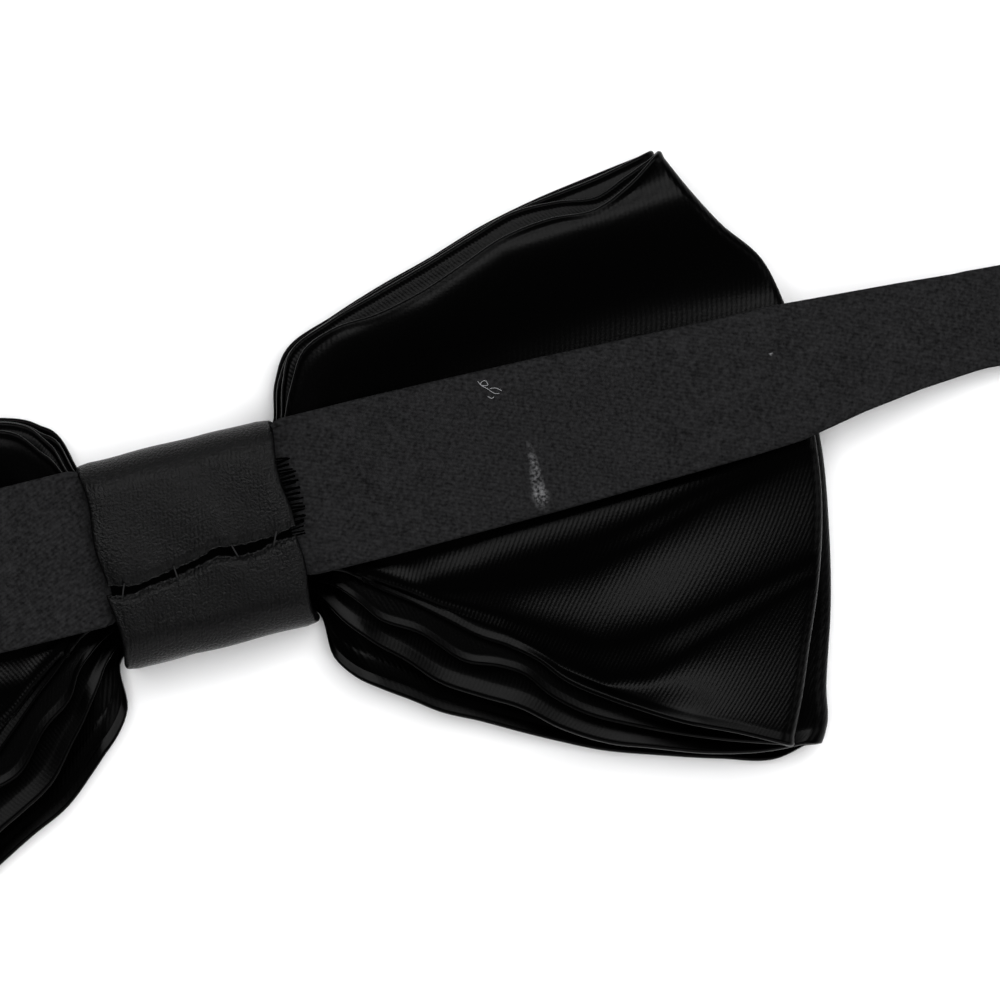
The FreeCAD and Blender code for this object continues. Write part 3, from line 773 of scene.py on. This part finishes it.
def noise(nodes, coordinates, scale, detail=3.0):
    node = nodes.add("ShaderNodeTexNoise")
    node.inputs["Scale"].default_value = scale
    node.inputs["Detail"].default_value = detail
    nodes.link(coordinates, node.inputs["Vector"])
    return node.outputs["Fac"]


def ribs(nodes, angle, pitch):
    """The weave's ribs as a wave from 0 to 1, at an angle to the cloth's length, and its coordinates."""
    coordinates = nodes.add("ShaderNodeUVMap", uv_map="weave").outputs["UV"]
    split = nodes.add("ShaderNodeSeparateXYZ")
    nodes.link(coordinates, split.inputs[0])
    turn = 2 * math.pi / pitch
    across = nodes.math("MULTIPLY", split.outputs[0], turn * math.sin(math.radians(angle)))
    down = nodes.math("MULTIPLY", split.outputs[1], -turn * math.cos(math.radians(angle)))
    wave = nodes.math("SINE", nodes.math("ADD", across, down))
    return nodes.math("ADD", nodes.math("MULTIPLY", wave, 0.5), 0.5), coordinates


def satin(name, colour, specular, roughness, rib_angle, rib_depth, uneven):
    """Black satin: very dark, with a soft sheen broken up by fine twill ribs."""
    nodes = Nodes(name)
    wave, coordinates = ribs(nodes, rib_angle, RIB_PITCH)
    yarn = noise(nodes, coordinates, 4.0, 5.0)
    height = nodes.math("ADD", nodes.math("MULTIPLY", wave, 0.8), nodes.math("MULTIPLY", yarn, uneven))
    pressed = nodes.add("ShaderNodeAttribute", attribute_name="pressed").outputs["Fac"]
    height = nodes.math("MULTIPLY", height, nodes.math("SUBTRACT", 1.0, nodes.math("MULTIPLY", pressed, 0.8)))
    bump = nodes.add("ShaderNodeBump")
    bump.inputs["Strength"].default_value = 1.0
    bump.inputs["Distance"].default_value = rib_depth
    nodes.link(height, bump.inputs["Height"])
    nodes.link(bump.outputs[0], nodes.shader.inputs["Normal"])
    nodes.set(Base_Color=(*colour, 1), Roughness=roughness, Specular_IOR_Level=specular, Sheen_Weight=0.0)
    return nodes.material


def band_cloth(name, marks):
    """Dull black cloth with a heathered grain and a faint twill. marks adds the pale scuffs seen on the
    band."""
    nodes = Nodes(name)
    wave, coordinates = ribs(nodes, -22, 0.36)
    place = nodes.add("ShaderNodeTexCoord").outputs["Object"]
    grain = noise(nodes, place, 2600.0, 5.0)
    blotch = noise(nodes, place, 320.0, 3.0)
    mix = nodes.math("ADD", nodes.math("MULTIPLY", grain, 1.0), nodes.math("MULTIPLY", blotch, 0.20))
    mix = nodes.math("ADD", mix, nodes.math("MULTIPLY", wave, 0.08))
    ramp = nodes.add("ShaderNodeValToRGB")
    ramp.color_ramp.elements[0].position = 0.42
    ramp.color_ramp.elements[0].color = (0.0044, 0.0044, 0.0046, 1)
    ramp.color_ramp.elements[1].position = 0.95
    ramp.color_ramp.elements[1].color = (0.0200, 0.0200, 0.0208, 1)
    nodes.link(mix, ramp.inputs[0])
    colour = ramp.outputs[0]
    for centre, size, turn, strength in marks:
        mapping = nodes.add("ShaderNodeMapping", vector_type="TEXTURE")
        mapping.inputs["Location"].default_value = centre
        mapping.inputs["Rotation"].default_value = (0, 0, math.radians(turn))
        mapping.inputs["Scale"].default_value = size
        nodes.link(place, mapping.inputs["Vector"])
        reach = nodes.add("ShaderNodeVectorMath", operation="LENGTH")
        nodes.link(mapping.outputs[0], reach.inputs[0])
        inside = nodes.math("SUBTRACT", 1.0, reach.outputs["Value"])
        fuzz = nodes.math("SUBTRACT", noise(nodes, place, 3200.0, 6.0), 0.40)
        patchy = nodes.math("MULTIPLY", nodes.math("MAXIMUM", inside, 0.0), nodes.math("MAXIMUM", fuzz, 0.0))
        amount = nodes.math("MINIMUM", nodes.math("MULTIPLY", patchy, strength), 1.0)
        blend = nodes.add("ShaderNodeMix", data_type="RGBA")
        nodes.link(amount, blend.inputs["Factor"])
        nodes.link(colour, blend.inputs[6])
        blend.inputs[7].default_value = (0.16, 0.16, 0.165, 1)
        colour = blend.outputs[2]
    nodes.link(colour, nodes.shader.inputs["Base Color"])
    bump = nodes.add("ShaderNodeBump")
    bump.inputs["Strength"].default_value = 0.5
    bump.inputs["Distance"].default_value = 0.00004
    nodes.link(mix, bump.inputs["Height"])
    nodes.link(bump.outputs[0], nodes.shader.inputs["Normal"])
    nodes.set(Roughness=0.9, Specular_IOR_Level=0.02)
    return nodes.material


def plain(name, colour, roughness, metallic=0.0, bump_scale=0.0, bump_distance=0.0, specular=0.5):
    """A plain material, with an uneven surface where bump_scale is given."""
    nodes = Nodes(name)
    nodes.set(Base_Color=(*colour, 1), Roughness=roughness, Metallic=metallic, Specular_IOR_Level=specular)
    if bump_scale:
        place = nodes.add("ShaderNodeTexCoord").outputs["Object"]
        bump = nodes.add("ShaderNodeBump")
        bump.inputs["Distance"].default_value = bump_distance
        nodes.link(noise(nodes, place, bump_scale), bump.inputs["Height"])
        nodes.link(bump.outputs[0], nodes.shader.inputs["Normal"])
    return nodes.material


def paint(obj, material):
    obj.data.materials.clear()
    obj.data.materials.append(material)
    return obj


# ---- Assembly ------------------------------------------------------------------------------------

# Each scuff: its middle and half sizes in metres, its turn in degrees and its strength.
SCUFFS = [((0.0345, -0.0012, 0.012), (0.00055, 0.0036, 0.01), 2, 3.0),
          ((0.0340, -0.0024, 0.012), (0.00040, 0.0022, 0.01), 0, 2.4),
          ((0.0343, -0.0036, 0.012), (0.00100, 0.0015, 0.01), -4, 3.4),
          ((0.0600, 0.0046, 0.011), (0.00025, 0.00025, 0.01), 0, 10.0)]

bow_satin = satin("bow_satin", (0.0001, 0.0001, 0.00012), 0.026, 0.30, 65, 0.000015, 1.1)
knot_satin = satin("knot_satin", (0.0008, 0.0008, 0.0009), 0.100, 0.36, 12, 0.000022, 7.0)
cloth = band_cloth("band_cloth", SCUFFS)
nickel = plain("nickel", (0.72, 0.71, 0.69), 0.22, 1.0, 900.0, 0.00001)
sewing = plain("sewing_thread", (0.016, 0.016, 0.0165), 0.8, specular=0.1)
# Flat black with no sheen, for the knot's frayed yarns and the seam's hem, which also stand in for shade:
# painted shade.
yarn_and_shade_black = plain("black_yarn_and_painted_shade", (0.0004, 0.0004, 0.0004), 1.0, specular=0.0)
felt = plain("interlining", (0.60, 0.58, 0.53), 0.95, 0.0, 2500.0, 0.00005)
lint = plain("lint", (0.22, 0.22, 0.23), 0.9)

by_slot = {"nickel": nickel, "sewing_thread": sewing, "interlining": felt, "bow_satin": bow_satin,
           "knot_satin": knot_satin, "band_cloth": cloth}
for node in frame["record"]["subparts"]:
    paint(bpy.data.objects[node["node"]], by_slot[node["material_slot"]])

back_low, back_high = [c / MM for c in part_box("back_bow_shell")]
front_low, front_high = [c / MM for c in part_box("front_bow_shell")]
# The layers' heights at the knot, in the middle of the wing and at the tip, then the folds' heights
# by bearing in degrees.
BACK_NEAR = (back_high.z - 1.70, back_high.z - 0.75, back_high.z - 1.45)
BACK_FAR = (back_low.z + 1.40, back_low.z + 0.75, back_low.z + 1.60)
FRONT_NEAR = (front_high.z - 0.75, front_high.z - 0.85, front_high.z - 1.35)
FRONT_FAR = (front_low.z + 3.05, front_low.z + 0.75, front_low.z + 1.55)
INNER_FOLDS = [(-60, 0.2), (-42, 0.1), (-24, -0.3), (-12, 0.1), (0, -0.1), (13, 0.0), (25, -0.3), (42, 0.1),
               (60, 0.1)]
FRONT_FOLDS = [(-60, 0.0), (-38, 0.1), (-26, 0.9), (-13, 0.1), (0, 0.8), (13, 0.1), (26, 0.9), (38, 0.1),
               (60, 0.0)]

for side, seed in (("right", 3), ("left", 8)):
    for bow, near_z, far_z, near_folds, far_folds in (
            ("back", BACK_NEAR, BACK_FAR, None, INNER_FOLDS),
            ("front", FRONT_NEAR, FRONT_FAR, INNER_FOLDS, FRONT_FOLDS)):
        wing = bow_wing(bow, side, near_z, far_z, near_folds, far_folds, seed)
        paint(wing, bow_satin)
        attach(wing, ROOT)
        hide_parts(f"{bow}_bow_shell", f"{bow}_bow_interlining")

wrap = paint(knot_wrap(), knot_satin)
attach(wrap, ROOT)
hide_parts("knot_wrap_shell", "knot_wrap_interlining")
stitches = paint(seam_threads(), sewing)
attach(stitches, ROOT)
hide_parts("knot_seam_stitches")

# Flat black yarns at the knot's right side: frayed ends, and painted shade where the band goes in under the
# knot.
fringe_and_shade = paint(frayed_side_and_shade(), yarn_and_shade_black)
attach(fringe_and_shade, ROOT)

band_y = (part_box("neck_band_right_outer")[0].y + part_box("neck_band_right_outer")[1].y) / 2 / MM
for side in ("right", "left"):
    sign = 1 if side == "right" else -1
    inner = strap(f"band_{side}_inner", band_path(side, 0.05, SPLIT), band_half_width, band_y, BAND_THICKNESS,
                  0.05, sign)
    paint(inner, cloth)
    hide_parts(f"neck_band_{side}_inner", f"band_interlining_{side}_inner", "neck_band_centre",
                "band_interlining_centre")
    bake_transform(inner)

# The seam's hem, a flat black sheet under the gap: painted shade between the lips as well as turned-in satin.
hem = paint(seam_hem_and_shade(), yarn_and_shade_black)
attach(hem, ROOT)

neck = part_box("neck_band_right_outer")[1].x / MM
outer = strap("band_right_outer", band_path("right", SPLIT, neck - 0.1), band_half_width, band_y,
              BAND_THICKNESS, 0.02)
paint(outer, cloth)
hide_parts("neck_band_right_outer", "band_interlining_right_outer")
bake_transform(outer)

# The left end, round the eye's bar and back to its bar tack.
eye_bar = near_x("eye", -1) + WIRE
eye_low, eye_high = [c.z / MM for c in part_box("eye")]
bar_z = (eye_low + eye_high) / 2
tack_x = near_x("eye_tab_stitches", -1)
tack_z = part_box("eye_tab_stitches")[0].z / MM
tab_z = tack_z - LOOP_THICKNESS / 2
left_run = band_path("left", SPLIT, eye_bar - TURN_START)
left_outer = turned_strap("band_left_outer", left_run,
                          [(eye_bar - TURN_START, tab_z), (tack_x - 1.2, tab_z)], eye_bar, bar_z,
                          LOOP_RADIUS, LOOP_THICKNESS, -1)
paint(left_outer, cloth)
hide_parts("neck_band_left_outer", "band_interlining_left_outer")
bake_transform(left_outer)

# The right end: the fold round the hook's bar, the band that it draws out, the return strap and its sewn tab.
hook_bar = near_x("hook", 1) + WIRE
strap_z = (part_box("return_strap")[0].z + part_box("return_strap")[1].z) / 2 / MM
band_z = (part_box("neck_band_right_outer")[0].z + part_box("neck_band_right_outer")[1].z) / 2 / MM
fold = turned_strap("hook_fold_strap", [(neck + 0.1, band_z)], [(neck - 0.5, strap_z)], hook_bar, bar_z,
                    LOOP_RADIUS, LOOP_THICKNESS)
paint(fold, cloth)
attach(fold, "hook_fold")
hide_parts("hook_strap_loop")

drawn_start = near_x("hook_strap_loop", 1)
path = [(x, band_z + DRAWN_LIFT) for x in np.arange(drawn_start, neck + 0.4, 0.8)]
drawn = strap("drawn_band", path, BAND_NARROW_HALF, band_y, DRAWN_THICKNESS)
paint(drawn, cloth)
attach(drawn, "hook_fold")
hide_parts("hook_strap_loop")

return_start, return_end = near_x("return_strap", 1), end_x("return_strap", 1)
path = [(x, strap_z) for x in np.linspace(return_start + 0.02, return_end, 70)]
returned = strap("return_strap_cloth", path, BAND_NARROW_HALF, band_y, RETURN_THICKNESS)
paint(returned, cloth)
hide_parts("return_strap")
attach(returned, "adjuster")
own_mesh(returned)

tab_end = end_x("adjuster_strap_tab", 1)
slide_low, slide_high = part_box("adjuster_slide")
middle_x = (slide_low.x + slide_high.x) / 2 / MM
middle_z = slide_high.z / MM - 0.6
sewn = near_x("adjuster_tab_stitches", 1) - 0.8
tab = turned_strap("adjuster_tab_cloth", [(tab_end, strap_z - 0.2), (sewn, strap_z - 0.2)],
                   [(sewn, strap_z + 0.2), (tab_end, strap_z + 0.2)], middle_x, middle_z, TAB_RADIUS,
                   TAB_THICKNESS, 1, -1)
paint(tab, cloth)
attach(tab, "adjuster")
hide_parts("adjuster_strap_tab")

# A curl of lint and two specks on the band.
LINT = [[(31.0, 9.0), (31.3, 8.5), (31.9, 8.4), (31.7, 8.9), (31.2, 8.7), (31.8, 8.0), (32.4, 7.4),
         (32.8, 7.3)],
        [(32.0, 8.0), (32.6, 7.9), (33.1, 7.5)], [(31.6, 7.3), (32.0, 7.0), (32.2, 7.1)]]
top = cad_height("neck_band_right_inner", 0.032, 0.0078)[1] + 0.10
fibres = []
for i, line in enumerate(LINT):
    fibres.append(thread(f"lint_{i}",
                         [(x, y, top + 0.05 * math.sin(3 * k)) for k, (x, y) in enumerate(line)], 0.035))
fibres = joined("lint", fibres)
paint(fibres, lint)
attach(fibres, "right_inner_arm")


# ---- Floor, light and camera ---------------------------------------------------------------------


def floor():
    bpy.ops.mesh.primitive_plane_add(size=6.0, location=(0, 0, 0))
    plane = bpy.context.object
    plane.name = "floor"
    paint(plane, plain("floor", (0.93, 0.93, 0.935), 0.9))


def area_light(name, place, target, size, power, highlights):
    """A softbox, which gives either the highlights on glossy surfaces or the light on dull ones."""
    data = bpy.data.lights.new(name, "AREA")
    data.shape = "RECTANGLE"
    data.size, data.size_y = size
    data.energy = power
    obj = bpy.data.objects.new(name, data)
    obj.location = place
    obj.rotation_euler = (Vector(target) - Vector(place)).to_track_quat("-Z", "Y").to_euler()
    obj.visible_glossy = highlights
    obj.visible_diffuse = not highlights
    bpy.context.scene.collection.objects.link(obj)


def camera():
    """Straight above the right wing, with the neck band rising to the right."""
    data = bpy.data.cameras.new("camera")
    obj = bpy.data.objects.new("camera", data)
    obj.location = (0.0303, -0.0030, 0.908)
    obj.rotation_euler = (0, 0, math.radians(-14))
    data.sensor_width = 36.0
    data.lens = 36.0 * 0.9 / 0.1
    data.clip_start = 0.01
    bpy.context.scene.collection.objects.link(obj)
    bpy.context.scene.camera = obj


floor()
area_light("strip", (0.03, 0.62, 1.15), (0.03, 0, 0), (1.0, 0.34), 19.0, True)
area_light("rim_south", (0.03, -1.19, 0.58), (0.03, 0, 0), (1.2, 0.3), 9.0, True)
area_light("rim_east", (1.20, 0, 0.68), (0.05, 0, 0), (0.4, 1.0), 6.0, True)
area_light("key", (0.42, 0.22, 0.62), (0.07, 0, 0), (0.4, 0.4), 2.6, False)
area_light("fill", (0.05, 0.05, 1.35), (0.05, 0, 0), (0.9, 0.9), 17.0, False)
world = bpy.data.worlds.new("studio")
world.use_nodes = True
world.node_tree.nodes["Background"].inputs[0].default_value = (1, 1, 1, 1)
world.node_tree.nodes["Background"].inputs[1].default_value = 0.22
bpy.context.scene.world = world
bpy.context.scene.view_settings.view_transform = "Standard"
camera()
